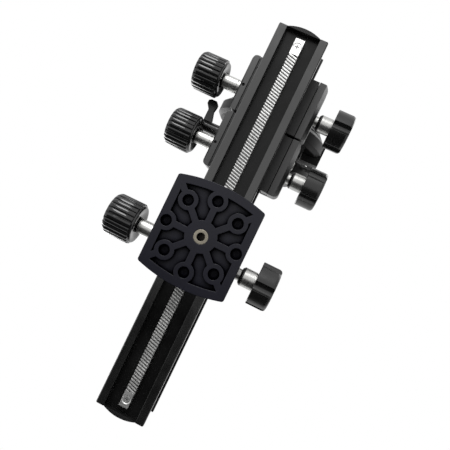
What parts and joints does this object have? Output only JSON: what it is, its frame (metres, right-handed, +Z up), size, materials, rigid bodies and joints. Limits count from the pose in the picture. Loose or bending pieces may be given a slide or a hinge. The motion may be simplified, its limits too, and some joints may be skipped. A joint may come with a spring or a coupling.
{
  "type": "macro bellows",
  "caption": "Camera macro bellows on a toothed rail: tripod block with rubber pad, carriages with focus and lock knobs, tilting lens standard, pleated bellows, turning camera ring.",
  "frame": {"origin": "mouth of the tripod thread, in the middle of the foot pad's face", "axes": "+X along the rail towards the camera side, +Y towards the star lock knobs, +Z up from the pad to the rail and the standards; the pad's face looks along -Z"},
  "size_m": [0.2856, 0.1195, 0.1598],
  "materials": {
    "black_anodised": "satin anodised",
    "frame_black": "matt anodised",
    "rack_steel": "milled teeth",
    "shaft_steel": "turned",
    "chrome": "polished",
    "black_screw": "blackened",
    "plain_screw": "turned",
    "knob_black": "satin",
    "collar_black": "satin",
    "plug_black": "satin",
    "strip_grey": "satin anodised",
    "pad_rubber": "matt",
    "bush_metal": "nickel-plated",
    "bellows_cloth": "matt coated cloth"
  },
  "bodies": {
    "block": {"tripod_block": "black_anodised", "foot_pad": "pad_rubber", "tripod_bush": "bush_metal", "block_gib": "black_anodised", "block_sleeve": "chrome", "block_screws": "black_screw"},
    "rail": {"rail": "black_anodised", "lower_rack": "rack_steel", "upper_rack": "rack_steel", "rack_screws": "plain_screw", "front_end_plug": "plug_black", "rear_end_plug": "plug_black", "end_plug_screws": "black_screw", "scale_strip": "strip_grey"},
    "block_drive": {"block_pinion": "shaft_steel", "block_focus_knob": "knob_black"},
    "block_clamp": {"block_jaw": "black_anodised"},
    "block_lock": {"block_lock_stud": "chrome", "block_lock_collar": "collar_black", "block_lock_star": "knob_black"},
    "front_carriage": {"front_carriage": "black_anodised", "front_gib": "black_anodised", "front_sleeve": "chrome", "front_screws": "black_screw", "tilt_bracket": "black_anodised", "bracket_screws": "black_screw"},
    "front_drive": {"front_pinion": "shaft_steel", "front_focus_knob": "knob_black"},
    "front_clamp": {"front_jaw": "black_anodised"},
    "front_lock": {"front_lock_stud": "chrome", "front_lock_collar": "collar_black", "front_lock_star": "knob_black"},
    "front_standard": {"front_frame": "frame_black", "lens_ring": "frame_black", "lens_ring_screws": "plain_screw", "front_bellows_frame": "frame_black"},
    "tilt_clamp": {"tilt_bolt": "chrome", "clamp_lever": "knob_black"},
    "front_bellows_screw": {"front_bellows_screw": "black_screw"},
    "rear_carriage": {"rear_carriage": "black_anodised", "rear_gib": "black_anodised", "rear_sleeve": "chrome", "rear_screws": "black_screw", "rear_frame": "frame_black", "rear_foot": "frame_black", "foot_screws": "black_screw", "rear_frame_screws": "black_screw", "rear_bellows_frame": "frame_black", "bellows": "bellows_cloth"},
    "rear_drive": {"rear_pinion": "shaft_steel", "rear_focus_knob": "knob_black"},
    "rear_clamp": {"rear_jaw": "black_anodised"},
    "rear_lock": {"rear_lock_stud": "chrome", "rear_lock_collar": "collar_black", "rear_lock_star": "knob_black"},
    "camera_ring": {"camera_ring": "frame_black", "retaining_ring": "plain_screw"},
    "rear_bellows_screw": {"rear_bellows_screw": "black_screw"},
    "ring_lock_screw": {"ring_lock_screw": "black_screw"}
  },
  "joints": [
    {"name": "rail_slide", "type": "slide", "parent": "block", "child": "rail", "axis": [1, 0, 0], "range_m": [-0.105, 0.085]},
    {"name": "rear_slide", "type": "slide", "parent": "rail", "child": "rear_carriage", "axis": [1, 0, 0], "range_m": [0, 0.009], "deforming": ["bellows"]},
    {"name": "front_slide", "type": "slide", "parent": "rail", "child": "front_carriage", "axis": [1, 0, 0], "range_m": [-0.15, 0], "deforming": ["bellows"]},
    {"name": "block_drive", "type": "hinge", "parent": "block", "child": "block_drive", "pos_m": [-0.0115, 0, 0.01488], "axis": [0, 1, 0], "range_deg": [-1317.57, 1066.7]},
    {"name": "front_drive", "type": "hinge", "parent": "front_carriage", "child": "front_drive", "pos_m": [0.06349, 0, 0.04912], "axis": [0, 1, 0], "range_deg": [-1882.03, 0]},
    {"name": "rear_drive", "type": "hinge", "parent": "rear_carriage", "child": "rear_drive", "pos_m": [0.1091, 0, 0.04912], "axis": [0, 1, 0], "range_deg": [0, 113.39]},
    {"name": "tilt", "type": "hinge", "parent": "front_carriage", "child": "front_standard", "pos_m": [0.0762, 0, 0.066], "axis": [0, 1, 0], "range_deg": [-20, 0], "deforming": ["bellows"]},
    {"name": "tilt_clamp", "type": "hinge", "parent": "front_carriage", "child": "tilt_clamp", "pos_m": [0.0762, 0, 0.066], "axis": [0, -1, 0], "range_deg": [0, 60]},
    {"name": "camera_ring_turn", "type": "hinge", "parent": "rear_carriage", "child": "camera_ring", "pos_m": [0.1094, 0, 0.105], "axis": [1, 0, 0], "range_deg": [0, 90]},
    {"name": "block_clamp", "type": "slide", "parent": "block", "child": "block_clamp", "axis": [0, -1, 0], "range_m": [0, 0.0003]},
    {"name": "block_lock", "type": "hinge", "parent": "block", "child": "block_lock", "pos_m": [-0.0115, 0.035, 0.01488], "axis": [0, -1, 0], "range_deg": [0, 108.5]},
    {"name": "front_clamp", "type": "slide", "parent": "front_carriage", "child": "front_clamp", "axis": [0, -1, 0], "range_m": [0, 0.0003]},
    {"name": "front_lock", "type": "hinge", "parent": "front_carriage", "child": "front_lock", "pos_m": [0.06349, 0.035, 0.04912], "axis": [0, -1, 0], "range_deg": [0, 108.5]},
    {"name": "rear_clamp", "type": "slide", "parent": "rear_carriage", "child": "rear_clamp", "axis": [0, -1, 0], "range_m": [0, 0.0003]},
    {"name": "rear_lock", "type": "hinge", "parent": "rear_carriage", "child": "rear_lock", "pos_m": [0.1091, 0.035, 0.04912], "axis": [0, -1, 0], "range_deg": [0, 108.5]},
    {"name": "front_bellows_screw", "type": "hinge", "parent": "front_standard", "child": "front_bellows_screw", "pos_m": [0.08055, 0.04, 0.076], "axis": [0, 1, 0], "range_deg": [0, 360]},
    {"name": "rear_bellows_screw", "type": "hinge", "parent": "rear_carriage", "child": "rear_bellows_screw", "pos_m": [0.09905, 0, 0.1521], "axis": [0, 0, 1], "range_deg": [0, 360]},
    {"name": "ring_lock_screw", "type": "hinge", "parent": "rear_carriage", "child": "ring_lock_screw", "pos_m": [0.107, 0, 0.105], "axis": [0, 0.7071, 0.7071], "range_deg": [0, 360]}
  ],
  "couplings": [
    {"joint": "block_drive", "follows": "rail_slide", "rad_per_m": 218.93},
    {"joint": "front_drive", "follows": "front_slide", "rad_per_m": 218.93},
    {"joint": "rear_drive", "follows": "rear_slide", "rad_per_m": 218.93},
    {"joint": "block_lock", "follows": "block_clamp", "rad_per_m": 6283.2},
    {"joint": "front_lock", "follows": "front_clamp", "rad_per_m": 6283.2},
    {"joint": "rear_lock", "follows": "rear_clamp", "rad_per_m": 6283.2}
  ]
}
